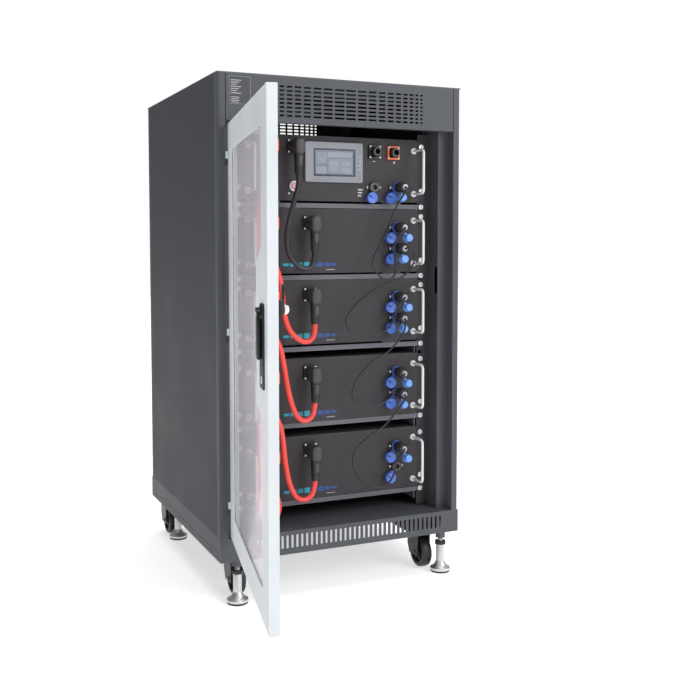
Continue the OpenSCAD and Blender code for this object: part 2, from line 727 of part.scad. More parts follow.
// Forks trail towards the front of the cabinet
module fork(i) color(zinc) cabinet() translate([caster_places[i][0], caster_places[i][1], 0]) {
    axle_z = wheel_z - ground_gap;
    half = wheel_half + 2;
    difference() {
        union() {
            translate([0, 0, -16.5]) cylinder(r = 24, h = 5);
            both_sides() block([half, -caster_trail - 14, axle_z - 8], [half + 3, 8, -12.5]);
            block([-half - 3, -caster_trail - 8, -15.5], [half + 3, 8, -12.5]);
        }
        translate([0, 0, -20]) cylinder(r = kingpin_r + run, h = 20);
        // The cheeks slope forward below the swivel
        both_sides() translate([half - over, -6, axle_z - 16]) rotate([-25, 0, 0]) cube([6, 40, 40]);
    }
    translate([-half - 5, -caster_trail, axle_z]) rotate([0, 90, 0]) cylinder(r = axle_r, h = 2 * half + 10);
}

module wheel(i) color(darker) cabinet() translate([caster_places[i][0], caster_places[i][1] - caster_trail,
                                                   wheel_z - ground_gap]) rotate([0, 90, 0])
    rotate_extrude($fn = 48) polygon([
        [axle_r + run, -wheel_half], [12, -wheel_half], [13, -wheel_half + 4], [26, -wheel_half + 4],
        [27, -wheel_half + 1], [wheel_r - 3, -wheel_half + 1], [wheel_r, -wheel_half + 5],
        [wheel_r, wheel_half - 5], [wheel_r - 3, wheel_half - 1], [27, wheel_half - 1],
        [26, wheel_half - 4], [13, wheel_half - 4], [12, wheel_half], [axle_r + run, wheel_half]]);

module fork_front_left() fork(0);

module fork_front_right() fork(1);

module fork_rear_left() fork(2);

module fork_rear_right() fork(3);

module wheel_front_left() wheel(0);

module wheel_front_right() wheel(1);

module wheel_rear_left() wheel(2);

module wheel_rear_right() wheel(3);

// A foot: rubber-soled pad, flared sleeve and threaded stud
module foot(i) color(zinc) translate([foot_places[i][0], foot_places[i][1] - cab_d / 2, 0])
    rotate_extrude() polygon([
        [0, 0], [pad_d / 2 - 1, 0], [pad_d / 2 - 1, 5], [pad_d / 2, 5], [pad_d / 2, 11],
        [pad_d / 2 - 4, 16], [14, 22], [11, 30], [11, 66], [9, 70], [stud_r, 70],
        [stud_r, 124], [stud_r - 1, 125], [0, 125]]);

module foot_front_left() foot(0);

module foot_front_right() foot(1);

module foot_rear_left() foot(2);

module foot_rear_right() foot(3);

base_frame();
roof_panel();
side_panel_left();
side_panel_right();
rear_panel();
corner_posts();
header_panel();
rack_rails();
module_shelves();
rack_screws();
hinge_brackets();
control_unit_case();
control_unit_front();
control_unit_contactors();
circuit_boards();
hmi_bezel();
hmi_screen();
module_case_1();
module_case_2();
module_case_3();
module_case_4();
module_fronts();
battery_cells();
busbars();
handles();
power_sockets();
negative_plugs();
positive_plugs();
comm_sockets();
comm_plugs();
dust_caps();
cable_negative();
cable_link_1_2();
cable_link_2_3();
cable_link_3_4();
cable_positive();
cable_comm_1();
cable_comm_2();
cable_comm_3();
cable_comm_4();
caster_plates();
power_button();
door_frame();
door_glass();
door_gasket();
lock_escutcheon();
lock_cam();
lock_lever();
fork_front_left();
fork_front_right();
fork_rear_left();
fork_rear_right();
wheel_front_left();
wheel_front_right();
wheel_rear_left();
wheel_rear_right();
foot_front_left();
foot_front_right();
foot_rear_left();
foot_rear_right();
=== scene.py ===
# Rack cabinet with a control unit and four battery modules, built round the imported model's frame, in metres.
import bpy
import bmesh
import json
import math
from mathutils import Matrix, Vector


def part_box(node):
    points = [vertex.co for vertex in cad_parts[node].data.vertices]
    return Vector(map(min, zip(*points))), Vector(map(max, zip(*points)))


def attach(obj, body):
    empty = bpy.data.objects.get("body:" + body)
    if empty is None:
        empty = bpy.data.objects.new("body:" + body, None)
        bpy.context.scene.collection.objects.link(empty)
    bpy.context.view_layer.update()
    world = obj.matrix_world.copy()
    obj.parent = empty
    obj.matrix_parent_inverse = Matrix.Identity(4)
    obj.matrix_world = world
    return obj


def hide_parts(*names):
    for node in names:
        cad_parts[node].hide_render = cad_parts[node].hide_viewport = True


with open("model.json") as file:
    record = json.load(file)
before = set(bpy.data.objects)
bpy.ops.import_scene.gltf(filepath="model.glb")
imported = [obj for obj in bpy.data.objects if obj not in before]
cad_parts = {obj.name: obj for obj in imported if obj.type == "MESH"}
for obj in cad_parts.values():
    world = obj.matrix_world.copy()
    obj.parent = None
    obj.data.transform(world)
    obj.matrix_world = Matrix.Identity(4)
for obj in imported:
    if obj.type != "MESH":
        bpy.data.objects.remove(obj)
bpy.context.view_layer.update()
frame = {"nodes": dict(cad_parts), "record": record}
NODES = frame["nodes"]
MM = 0.001


# ---------------------------------------------------------------- the frame

def joint(name):
    return next(j for j in frame["record"]["behaviour"]["joints"] if j["name"] == name)


def low(node):
    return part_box(node)[0]


def high(node):
    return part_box(node)[1]


# Cabinet coordinates in millimetres: x from the middle, y behind the front face, z above the underside
FRONT_Y = low("base_frame")[1]
PLINTH_H = 52.5
UNDER_Z = low("corner_posts")[2] - PLINTH_H * MM
CABINET = Matrix.Translation((0, FRONT_Y, UNDER_Z)) @ Matrix.Scale(MM, 4)

# Door coordinates in millimetres: u from the hinge axis, v inwards and z up
HINGE = joint("door_hinge")["pos_m"]
LOCK_AXIS = joint("lock_turn")["axis"]
DOOR_TURN = math.atan2(-LOCK_AXIS[0], LOCK_AXIS[1])
DOOR = (Matrix.Translation((HINGE[0], HINGE[1], UNDER_Z)) @ Matrix.Rotation(DOOR_TURN, 4, "Z")
        @ Matrix.Scale(MM, 4))


# ---------------------------------------------------------------- camera

camera_data = bpy.data.cameras.new("camera")
camera = bpy.data.objects.new("camera", camera_data)
bpy.context.collection.objects.link(camera)
bpy.context.scene.camera = camera
camera.location = (-0.9144, -2.3274, 0.7990)
CAMERA_TURN = 24.02
CAMERA_TILT = -3.427
CAMERA_ROLL = -0.06
camera.rotation_euler = (Matrix.Rotation(math.radians(-CAMERA_TURN), 4, "Z")
                         @ Matrix.Rotation(math.radians(90 + CAMERA_TILT), 4, "X")
                         @ Matrix.Rotation(math.radians(CAMERA_ROLL), 4, "Z")).to_euler()
camera_data.sensor_width = 36
camera_data.lens = 51.64
camera_data.shift_x = 0.0014
camera_data.shift_y = -0.0567
camera_data.clip_end = 50


# ---------------------------------------------------------------- materials

def material(name, color, rough=0.5, metal=0.0):
    """A Principled material; returns (material, its node tree, the shader)."""
    m = bpy.data.materials.new(name)
    m.use_nodes = True
    tree = m.node_tree
    shader = tree.nodes["Principled BSDF"]
    shader.inputs["Base Color"].default_value = (*color, 1)
    shader.inputs["Roughness"].default_value = rough
    shader.inputs["Metallic"].default_value = metal
    return m, tree, shader


def node(tree, kind, **values):
    n = tree.nodes.new(kind)
    for key, value in values.items():
        if key in n.inputs:
            n.inputs[key].default_value = value
        else:
            setattr(n, key, value)
    return n


def object_place(tree):
    return node(tree, "ShaderNodeTexCoord").outputs["Object"]


def noise(tree, scale, detail=3.0, rough=0.5, place=None):
    n = node(tree, "ShaderNodeTexNoise", Scale=scale, Detail=detail, Roughness=rough)
    tree.links.new(place or object_place(tree), n.inputs["Vector"])
    return n.outputs["Fac"]


def ramp(tree, value, stops):
    """Maps a value through (position, colour or grey) stops."""
    n = tree.nodes.new("ShaderNodeValToRGB")
    while len(n.color_ramp.elements) < len(stops):
        n.color_ramp.elements.new(0.5)
    for element, (position, color) in zip(n.color_ramp.elements, stops):
        element.position = position
        grey = not hasattr(color, "__len__")
        element.color = (color, color, color, 1) if grey else (*color, 1)
    tree.links.new(value, n.inputs["Fac"])
    return n.outputs["Color"]


def mix(tree, factor, a, b):
    n = tree.nodes.new("ShaderNodeMix")
    n.data_type = "RGBA"
    for value, socket in ((factor, n.inputs[0]), (a, n.inputs[6]), (b, n.inputs[7])):
        if isinstance(value, bpy.types.NodeSocket):
            tree.links.new(value, socket)
        elif hasattr(value, "__len__"):
            socket.default_value = (*value, 1)
        else:
            socket.default_value = value
    return n.outputs[2]


def bump(tree, shader, height, strength, distance):
    n = node(tree, "ShaderNodeBump", Strength=strength, Distance=distance)
    tree.links.new(height, n.inputs["Height"])
    previous = shader.inputs["Normal"].links
    if previous:
        tree.links.new(previous[0].from_socket, n.inputs["Normal"])
    tree.links.new(n.outputs["Normal"], shader.inputs["Normal"])


def edge_wear_and_highlight(tree, width=0.0012):
    """1 on sharp edges, 0 elsewhere, found by a bevelled normal; it sets where a lighter rim goes, a painted
    edge highlight together with wear.
    """
    soft = node(tree, "ShaderNodeBevel", samples=4, Radius=width)
    plain = node(tree, "ShaderNodeNewGeometry")
    dot = node(tree, "ShaderNodeVectorMath", operation="DOT_PRODUCT")
    tree.links.new(soft.outputs["Normal"], dot.inputs[0])
    tree.links.new(plain.outputs["Normal"], dot.inputs[1])
    return ramp(tree, dot.outputs["Value"], [(0.9, 1.0), (0.99, 0.0)])


def painted(name, color, rough, grain, depth, wear_and_highlight=0.0, shine=0.5):
    """Powder coat: a fine orange-peel texture, slight patches of colour and gloss."""
    m, tree, shader = material(name, color, rough)
    shader.inputs["Specular IOR Level"].default_value = shine
    fine = noise(tree, grain, 2.0)
    broad = noise(tree, 6.0, 4.0)
    light = tuple(min(1.0, c * 1.07) for c in color)
    deep = tuple(c * 0.95 for c in color)
    tint = mix(tree, ramp(tree, broad, [(0.3, 0.0), (0.7, 1.0)]), deep, light)
    # Sharp edges get a lighter rim: a painted edge highlight together with some wear
    if wear_and_highlight:
        rim_wear_and_highlight = tuple(min(1.0, c * 1.6 + wear_and_highlight) for c in color)
        tint = mix(tree, edge_wear_and_highlight(tree), tint, rim_wear_and_highlight)
    tree.links.new(tint, shader.inputs["Base Color"])
    tree.links.new(ramp(tree, broad, [(0.25, rough - 0.05), (0.75, rough + 0.07)]),
                   shader.inputs["Roughness"])
    bump(tree, shader, fine, 0.35, depth)
    return m


def moulded(name, color, rough, grain=900.0, depth=0.00006):
    """Moulded plastic with a fine spark-eroded grain."""
    m, tree, shader = material(name, color, rough)
    fine = noise(tree, grain, 2.0)
    broad = noise(tree, 18.0, 3.0)
    tree.links.new(mix(tree, broad, tuple(c * 0.86 for c in color), tuple(min(1, c * 1.14) for c in color)),
                   shader.inputs["Base Color"])
    tree.links.new(ramp(tree, broad, [(0.3, rough - 0.06), (0.7, rough + 0.06)]), shader.inputs["Roughness"])
    bump(tree, shader, fine, 0.4, depth)
    return m


def metal(name, color, rough, streak=(60.0, 60.0, 900.0)):
    """Plated or drawn metal with fine directional marks and faint stains."""
    m, tree, shader = material(name, color, rough, 1.0)
    scaled = node(tree, "ShaderNodeMapping", vector_type="POINT")
    scaled.inputs["Scale"].default_value = streak
    tree.links.new(object_place(tree), scaled.inputs["Vector"])
    marks = noise(tree, 1.0, 3.0, place=scaled.outputs["Vector"])
    stain = noise(tree, 35.0, 4.0)
    tree.links.new(mix(tree, stain, tuple(c * 0.82 for c in color), color), shader.inputs["Base Color"])
    tree.links.new(ramp(tree, marks, [(0.3, rough - 0.08), (0.7, rough + 0.1)]), shader.inputs["Roughness"])
    bump(tree, shader, marks, 0.12, 0.00005)
    return m


def rubbery(name, color, rough, grain=500.0):
    m, tree, shader = material(name, color, rough)
    fine = noise(tree, grain, 3.0)
    broad = noise(tree, 25.0, 4.0)
    tree.links.new(mix(tree, broad, tuple(c * 0.8 for c in color), tuple(min(1, c * 1.2) for c in color)),
                   shader.inputs["Base Color"])
    tree.links.new(ramp(tree, broad, [(0.3, rough - 0.08), (0.7, rough + 0.08)]), shader.inputs["Roughness"])
    bump(tree, shader, fine, 0.3, 0.00008)
    return m


cabinet_paint = painted("cabinet_paint", (0.085, 0.090, 0.100), 0.55, 700.0, 0.00010, wear_and_highlight=0.03, shine=0.25)
# A darker copy of the cabinet paint for the sides: painted shade on faces that turn away from the light
shaded_side_paint = painted("shaded_side_paint", (0.050, 0.054, 0.062), 0.58, 700.0, 0.00010, wear_and_highlight=0.03, shine=0.2)
rack_black = painted("rack_black", (0.050, 0.047, 0.051), 0.6, 800.0, 0.00008, wear_and_highlight=0.015, shine=0.25)
shelf_grey = painted("shelf_grey", (0.115, 0.119, 0.135), 0.5, 800.0, 0.00008, wear_and_highlight=0.05)
door_white = painted("door_white", (0.72, 0.76, 0.79), 0.42, 500.0, 0.00005)
fork_black = painted("fork_black", (0.028, 0.028, 0.031), 0.4, 600.0, 0.00006, wear_and_highlight=0.03)
zinc = metal("zinc", (0.78, 0.80, 0.80), 0.42)
gland_metal = metal("gland_metal", (0.40, 0.40, 0.41), 0.45)
handle_silver = painted("handle_silver", (0.74, 0.74, 0.73), 0.3, 400.0, 0.00003)
black_plastic = moulded("black_plastic", (0.018, 0.018, 0.020), 0.42)
# A lighter copy of the black plug plastic for the plug heads, a painted highlight where they face the light
lit_plug_black = moulded("lit_plug_black", (0.050, 0.050, 0.054), 0.48)
# Near-black for openings: sheets and strips laid in the socket bores, the cap slits and the keyhole as painted
# shade
painted_shade_black = moulded("painted_shade_black", (0.006, 0.006, 0.007), 0.6)
lock_black = moulded("lock_black", (0.009, 0.009, 0.011), 0.6)
orange_plastic = moulded("orange_plastic", (0.90, 0.155, 0.045), 0.4)
blue_plastic = moulded("blue_plastic", (0.085, 0.19, 0.66), 0.38)
pale_blue = moulded("pale_blue", (0.15, 0.34, 0.84), 0.42)
red_cable = rubbery("red_cable", (0.90, 0.075, 0.060), 0.38)
black_cable = rubbery("black_cable", (0.020, 0.020, 0.024), 0.38)
gasket_black = rubbery("gasket_black", (0.025, 0.025, 0.027), 0.6)
wheel_black = rubbery("wheel_black", (0.012, 0.012, 0.013), 0.45)
hub_black = moulded("hub_black", (0.016, 0.016, 0.018), 0.4)
bezel_grey = moulded("bezel_grey", (0.25, 0.26, 0.295), 0.42)
socket_grey = moulded("socket_grey", (0.12, 0.10, 0.11), 0.45)
button_white = moulded("button_white", (0.62, 0.34, 0.38), 0.3)
ring_white = moulded("ring_white", (0.80, 0.74, 0.74), 0.3)
nylon_white = moulded("nylon_white", (0.80, 0.80, 0.78), 0.4)
board_green = moulded("board_green", (0.02, 0.12, 0.05), 0.4)
copper = metal("copper", (0.72, 0.38, 0.2), 0.3)
screen_glass = moulded("screen_glass", (0.17, 0.205, 0.265), 0.2, 60.0, 0.00001)
screen_frame = moulded("screen_frame", (0.025, 0.035, 0.06), 0.3)
tile_pale = moulded("tile_pale", (0.215, 0.25, 0.305), 0.25, 60.0, 0.00001)
tile_light = moulded("tile_light", (0.27, 0.30, 0.345), 0.25, 60.0, 0.00001)
mark_white = moulded("mark_white", (0.60, 0.60, 0.62), 0.5)
mark_pale = moulded("mark_pale", (0.46, 0.47, 0.49), 0.5)
mark_teal = moulded("mark_teal", (0.02, 0.30, 0.40), 0.5)
mark_blue = moulded("mark_blue", (0.02, 0.07, 0.26), 0.5)
plate_dark = moulded("plate_dark", (0.045, 0.048, 0.055), 0.5)


def clear_glass():
    """Tinted door glass that lets the inside show through."""
    m, tree, shader = material("door_glass", (0.50, 0.46, 0.53), 0.06)
    shader.inputs["Alpha"].default_value = 0.52
    shader.inputs["Specular IOR Level"].default_value = 0.6
    haze = noise(tree, 4.0, 3.0)
    tree.links.new(mix(tree, haze, (0.86, 0.81, 0.90), (0.92, 0.89, 0.94)), shader.inputs["Base Color"])
    tree.links.new(ramp(tree, haze, [(0.3, 0.04), (0.7, 0.12)]), shader.inputs["Roughness"])
    return m


door_glass = clear_glass()

SLOT_MATERIALS = {
    "cabinet_paint": cabinet_paint, "rack_black": rack_black, "shelf_grey": shelf_grey, "zinc": zinc,
    "handle_silver": handle_silver, "black_plastic": black_plastic, "orange_plastic": orange_plastic,
    "blue_plastic": blue_plastic, "black_cable": black_cable, "red_cable": red_cable,
    "bezel_grey": bezel_grey, "screen_glass": screen_glass, "button_white": button_white,
    "board_green": board_green, "cell_can": zinc, "copper": copper, "door_white": door_white,
    "door_glass": door_glass, "gasket_black": gasket_black, "wheel_black": wheel_black,
    "fork_black": fork_black}

for part in frame["record"]["subparts"]:
    obj = NODES[part["node"]]
    obj.data.materials.clear()
    obj.data.materials.append(SLOT_MATERIALS[part["material_slot"]])
# The side panels and the hinge brackets take the darker copy of the cabinet paint, painted shade
for side_node in ("side_panel_left", "side_panel_right", "hinge_brackets"):
    NODES[side_node].data.materials[0] = shaded_side_paint


def soften(name, width, angle=35):
    """Rounds the sharp edges of a CAD node with a narrow bevel."""
    obj = NODES[name]
    b = obj.modifiers.new("edge", "BEVEL")
    b.width = width
    b.segments = 2
    b.limit_method = "ANGLE"
    b.angle_limit = math.radians(angle)
    b.harden_normals = True


# ---------------------------------------------------------------- cables

def curve_point(a, b, c, d, t):
    return 0.5 * (2 * b + (c - a) * t + (2 * a - 5 * b + 4 * c - d) * t * t
                  + (3 * b - a - 3 * c + d) * t ** 3)


def smooth_route(points, per_span=6):
    """Points along the same smooth curve through the route that the CAD tubes follow."""
    p = [Vector(q) for q in points]
    last = len(p) - 1
    out = []
    for i in range(last):
        for k in range(per_span):
            out.append(curve_point(p[max(i - 1, 0)], p[i], p[i + 1], p[min(i + 2, last)], k / per_span))
    out.append(p[last])
    return out


def cable(name, points, diameter, paint):
    route = [CABINET @ q for q in smooth_route(points)]
    data = bpy.data.curves.new(name + "_line", "CURVE")
    data.dimensions = "3D"
    spline = data.splines.new("POLY")
    spline.points.add(len(route) - 1)
    for q, point in zip(route, spline.points):
        point.co = (*q, 1)
    data.bevel_depth = diameter * MM / 2
    data.bevel_resolution = 5
    data.use_fill_caps = True
    obj = bpy.data.objects.new(name + "_line", data)
    bpy.context.collection.objects.link(obj)
    data.materials.append(paint)
    spline.use_smooth = True
    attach(obj, "cabinet")
    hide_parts(name)
    return obj


POWER_D = 12
COMM_D = 4.5
ROUTES = {
    "cable_negative": [(-100, 33, 853.6), (-102, 32, 828), (-112, 30, 795), (-122, 30, 760),
                       (-130, 30, 720), (-129, 30, 690), (-119, 30, 664), (-98, 30, 645),
                       (-77, 30, 642), (-65, 32, 658), (-61.4, 33, 680)],
    "cable_link_1_2": [(-163, 33, 680), (-159, 33, 656), (-147, 33, 622), (-141, 33, 585),
                       (-137, 33, 545), (-126, 33, 508), (-106, 33, 484), (-82, 33, 475),
                       (-65, 33, 488), (-61.4, 33, 515)],
    "cable_link_2_3": [(-163, 33, 515), (-159, 33, 492), (-146, 33, 462), (-138, 33, 425),
                       (-131, 33, 385), (-122, 33, 345), (-109, 33, 310), (-89, 33, 294),
                       (-69, 33, 304), (-61.4, 33, 334)],
    "cable_link_3_4": [(-163, 33, 334), (-159, 33, 312), (-146, 33, 282), (-140, 33, 245),
                       (-135, 33, 200), (-125, 33, 152), (-109, 33, 120), (-88, 33, 111),
                       (-69, 33, 123), (-61.4, 33, 153)],
    "cable_positive": [(-163, 33, 153), (-157, 33, 128), (-150, 33, 102), (-158, 33, 79),
                       (-177, 33, 72), (-192, 33, 88), (-196, 33, 120), (-196, 33, 200),
                       (-195, 33, 320), (-196, 33, 440), (-195, 33, 560), (-196, 33, 680),
                       (-195, 33, 760), (-188, 33, 800), (-170, 33, 828), (-163, 33, 853.6)],
    "cable_comm_1": [(163.5, 19, 830.6), (162, 11, 825), (153, 11, 810), (141, 13, 792),
                     (130, 18, 765), (120, 24, 730), (101, 28, 695), (85, 28, 664), (84, 28, 645),
                     (100, 26, 622), (120, 27, 611), (145, 34, 627), (146, 38, 655),
                     (143, 34, 690), (146, 20, 716), (156, 11, 729), (163.6, 19, 736)],
    "cable_comm_2": [(163.6, 19, 686), (169, 11, 688), (182, 13, 680), (183, 14, 652),
                     (160, 18, 623), (116, 24, 601), (76, 28, 583), (40, 30, 556), (15, 30, 522),
                     (27, 30, 496), (63, 28, 482), (110, 28, 490), (138, 28, 518),
                     (143, 22, 546), (153, 11, 563), (163.6, 19, 571)],
    "cable_comm_3": [(163.6, 19, 521), (161, 11, 512), (154, 13, 485), (124, 20, 448),
                     (77, 26, 419), (46, 30, 385), (31, 30, 351), (46, 30, 326), (81, 28, 316),
                     (115, 28, 325), (138, 28, 343), (144, 22, 366), (153, 11, 382),
                     (163.6, 19, 390)],
    "cable_comm_4": [(163.6, 19, 340), (161, 11, 332), (146, 13, 310), (112, 22, 270),
                     (71, 28, 243), (39, 30, 214), (34, 30, 179), (52, 28, 142), (88, 26, 122),
                     (122, 24, 130), (138, 24, 152), (144, 22, 182), (153, 11, 201),
                     (163.6, 19, 209)]}
for cable_name, cable_points in ROUTES.items():
    thin = "comm" in cable_name
    red = "link" in cable_name or "positive" in cable_name
    cable(cable_name, cable_points, COMM_D if thin else POWER_D,
          red_cable if red else black_cable)


# ---------------------------------------------------------------- shapes in mesh code

def circle(r, count):
    return [(r * math.cos(2 * math.pi * k / count), r * math.sin(2 * math.pi * k / count))
            for k in range(count)]


def round_rect(w, h, r, steps=4):
    """Points of a rectangle w by h, centred, with corners of radius r."""
    out = []
    for turn, (sx, sy) in enumerate(((1, 1), (-1, 1), (-1, -1), (1, -1))):
        for k in range(steps + 1):
            a = math.pi / 2 * (turn + k / steps)
            out.append((sx * (w / 2 - r) + r * math.cos(a), sy * (h / 2 - r) + r * math.sin(a)))
    return out


# Which of an outline's two values and its distance becomes x, y and z
AXIS_ORDER = {"x": (2, 0, 1), "y": (0, 2, 1), "z": (0, 1, 2)}


class Shape:
    """Closed solids in millimetres that together become one piece, each with one of its paints."""

    def __init__(self):
        self.bm = bmesh.new()

    def loft(self, rings, paint=0, closed=False):
        loops = [[self.bm.verts.new(p) for p in ring] for ring in rings]
        count = len(loops[0])
        faces = []
        for a, b in zip(loops, loops[1:] + (loops[:1] if closed else [])):
            for k in range(count):
                m = (k + 1) % count
                faces.append(self.bm.faces.new((a[k], a[m], b[m], b[k])))
        if not closed:
            faces.append(self.bm.faces.new(loops[0][::-1]))
            faces.append(self.bm.faces.new(loops[-1]))
        bmesh.ops.recalc_face_normals(self.bm, faces=faces)
        for face in faces:
            face.material_index = paint

    def lathe(self, profile, at, along="y", paint=0, count=32, closed=False):
        """Turns (radius, distance) points round an axis; closed joins the last point to the first."""
        self.stack([(s, circle(r, count)) for r, s in profile], at, along, paint, closed)

    def stack(self, outlines, at, along="y", paint=0, closed=False):
        """Lofts through flat outlines, each given with its distance along the axis."""
        order = AXIS_ORDER[along]
        at = Vector(at)
        self.loft([[at + Vector([(a, b, s)[k] for k in order]) for a, b in outline]
                   for s, outline in outlines], paint, closed)

    def slab(self, w, h, r, at, thick, along="y", paint=0, soft=0.6):
        """A rounded plate whose two faces have softened rims."""
        inner = round_rect(w - 2 * soft, h - 2 * soft, max(r - soft, 0.2))
        outer = round_rect(w, h, r)
        self.stack([(0, inner), (soft, outer), (thick - soft, outer), (thick, inner)], at, along, paint)

    def tube(self, path, radius, paint=0, count=14, squash=1.0):
        """A round or flattened tube along a path, with its ends closed."""
        path = [Vector(p) for p in path]
        last = len(path) - 1
        side = Vector((0, 0, 1)) if abs((path[1] - path[0]).normalized().z) < 0.9 else Vector((1, 0, 0))
        rings = []
        for i, p in enumerate(path):
            way = (path[min(i + 1, last)] - path[max(i - 1, 0)]).normalized()
            side = (side - way * side.dot(way)).normalized()
            other = way.cross(side)
            rings.append([p + side * a + other * b * squash for a, b in circle(radius, count)])
        self.loft(rings, paint)

    def screw(self, x, y, z, r=3.0, paint=0):
        """A small pan-head screw that faces the front, with a driver recess."""
        self.lathe([(0.3 * r, -0.28 * r), (0.34 * r, -0.62 * r), (0.7 * r, -0.56 * r), (r, -0.3 * r), (r, 0)],
                   (x, y, z), "y", paint, 16)


def piece(name, shape, body, paints, place=None, stands_for=(), angle=32):
    """Turns a shape into an object that rides on a body."""
    place = CABINET if place is None else place
    shape.bm.transform(place)
    mesh = bpy.data.meshes.new(name)
    shape.bm.to_mesh(mesh)
    shape.bm.free()
    for paint in paints:
        mesh.materials.append(paint)
    mesh.polygons.foreach_set("use_smooth", [True] * len(mesh.polygons))
    mesh.set_sharp_from_angle(angle=math.radians(angle))
    obj = bpy.data.objects.new(name, mesh)
    bpy.context.collection.objects.link(obj)
    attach(obj, body)
    if stands_for:
        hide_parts(*stands_for)
    return obj


# ---------------------------------------------------------------- places on the rack

UNIT_Z = [796.5, 630, 465, 284, 103]
PANEL_Y = 67
NEGATIVE = [(-100, UNIT_Z[0] + 123.1)] + [(-61.4, z + 116) for z in UNIT_Z[1:]]
POSITIVE = [(-163, UNIT_Z[0] + 123.1)] + [(-163, z + 116) for z in UNIT_Z[1:]]
LOAD = [(105.4, UNIT_Z[0] + 117.5), (154.4, UNIT_Z[0] + 116.5)]
COMM_USED = ([(163.5, UNIT_Z[0] + 34.1)] + [(163.6, z + 106) for z in UNIT_Z[1:]]
             + [(163.6, z + 56) for z in UNIT_Z[1:4]])
COMM_FREE = [(102.7, UNIT_Z[0] + 34.1), (163.6, UNIT_Z[4] + 56)]


# ---------------------------------------------------------------- sockets and plugs

# Where a power socket's collar begins, and how far its flange screws are from its middle
FREE_MOUTH = 48
USED_MOUTH = 56
FLANGE_SCREW = 12.6
# The depth of a power plug's hanging barrel behind the front face
BARREL_Y = 33


def power_socket(shape, x, z, orange, free):
    """A square shroud round a turned collar; paints: 0 black, 1 orange, 2 bright, 3 near-black sheet of
    painted shade at the back of the shroud and bore, 4 ring.
    """
    shroud = 1 if orange else 0
    front = PANEL_Y - 6
    outer, inner = round_rect(32, 32, 3), round_rect(24, 24, 2)
    soft = round_rect(30.8, 30.8, 2.6)
    shape.stack([(0, soft), (0.7, outer), (6, outer), (6, inner), (0, inner)], (x, front, z), "y", shroud,
                closed=True)
    # A near-black sheet at the back of the shroud, seen through the collar's bore: painted shade
    shape.slab(24.4, 24.4, 2, (x, PANEL_Y - 2.5, z), 2.4, "y", 3)
    mouth = FREE_MOUTH if free else USED_MOUTH
    shape.lathe([(7.2, mouth + 1), (7.2, mouth), (9.6, mouth), (10.6, mouth + 1), (10.6, mouth + 4),
                 (9.9, mouth + 4.5), (9.9, mouth + 6.5), (10.8, mouth + 7), (10.8, 66.5), (7.2, 66.5)],
                (x, 0, z), "y", 0, closed=True)
    if free:
        shape.lathe([(7.0, mouth + 0.6), (7.0, mouth - 0.7), (8.8, mouth - 0.7), (9.4, mouth - 0.2),
                     (9.4, mouth + 0.6)], (x, 0, z), "y", 4, closed=True)
    for dx in (-FLANGE_SCREW, FLANGE_SCREW):
        for dz in (-FLANGE_SCREW, FLANGE_SCREW):
            shape.screw(x + dx, front + 0.3, z + dz, 2.6, 2)


def power_plug(shape, x, z):
    """An elbow plug: crowned head, ribbed grip, latch and cable gland; paints: 0 head, 1 grip. On the black
    plugs the head's paint is a lighter copy of the grip's black, a painted highlight.
    """
    head = [(0, 15, 26), (0.8, 18.6, 31), (2.6, 21.6, 34.4), (6, 22.4, 35.4), (26, 23.4, 35.4), (28, 21, 33)]
    shape.stack([(18 + s, [(a, b - 2.6) for a, b in round_rect(w, h, 0.36 * w)]) for s, w, h in head],
                (x, 0, z), "y", 0)
    shape.lathe([(11.6, 44), (12.8, 46), (12.8, 49), (12.1, 49.5), (12.1, 51), (12.8, 51.5), (12.8, 54.5),
                 (12.0, 56), (9, 56)], (x, 0, z), "y", 1)
    grip = [(-16, 20, 22, 6), (-21, 19.6, 21.6, 6), (-22, 18.4, 20.4, 6), (-36, 17.8, 19.8, 6),
            (-46, 17.4, 19, 7), (-49, 16.6, 18, 7.5)]
    shape.stack([(s, round_rect(w, d, r)) for s, w, d, r in grip], (x, BARREL_Y, z), "z", 1)
    for k in range(4):
        level = z - 27 - 4.6 * k
        wide = 18.0 - 0.1 * k
        shape.stack([(0, round_rect(wide, 17.4, 4)), (0.5, round_rect(wide + 0.9, 17.8, 4)),
                     (1.7, round_rect(wide + 0.9, 17.8, 4)), (2.2, round_rect(wide, 17.4, 4))],
                    (x, BARREL_Y, level), "z", 1)
    latch = [(0, 9, 18), (0.6, 10.4, 20), (2.2, 10.8, 20.6), (4.4, 10.8, 20.6)]
    shape.stack([(20.6 + s, round_rect(w, h, 3)) for s, w, h in latch], (x, 0, z - 34), "y", 0)
    shape.lathe([(7.6, -66), (8.6, -65.4), (9.0, -60), (9.7, -59.6), (9.9, -56.4), (9.5, -56), (9.5, -54.6),
                 (10.0, -54.2), (10.0, -50.6), (9.4, -50), (9.2, -47)], (x, BARREL_Y, z), "z", 1, 20)


def make_power():
    sockets = Shape()
    for x, z in NEGATIVE:
        power_socket(sockets, x, z, False, False)
    for x, z in POSITIVE:
        power_socket(sockets, x, z, True, False)
    power_socket(sockets, *LOAD[0], False, True)
    power_socket(sockets, *LOAD[1], True, True)
    piece("power_socket_set", sockets, "cabinet",
          [black_plastic, orange_plastic, zinc, painted_shade_black, socket_grey], stands_for=["power_sockets"])
    # On the black plugs the head's paint is a lighter copy of the grip's black, a painted highlight
    for name, places, paints, node_name, slot_name in (
            ("negative_plug_set", NEGATIVE, [lit_plug_black, black_plastic], "negative_plugs", "black_plastic"),
            ("positive_plug_set", POSITIVE, [orange_plastic, orange_plastic], "positive_plugs",
             "orange_plastic")):
        plugs = Shape()
        for x, z in places:
            power_plug(plugs, x, z)
        piece(name, plugs, "cabinet", paints, stands_for=[node_name])


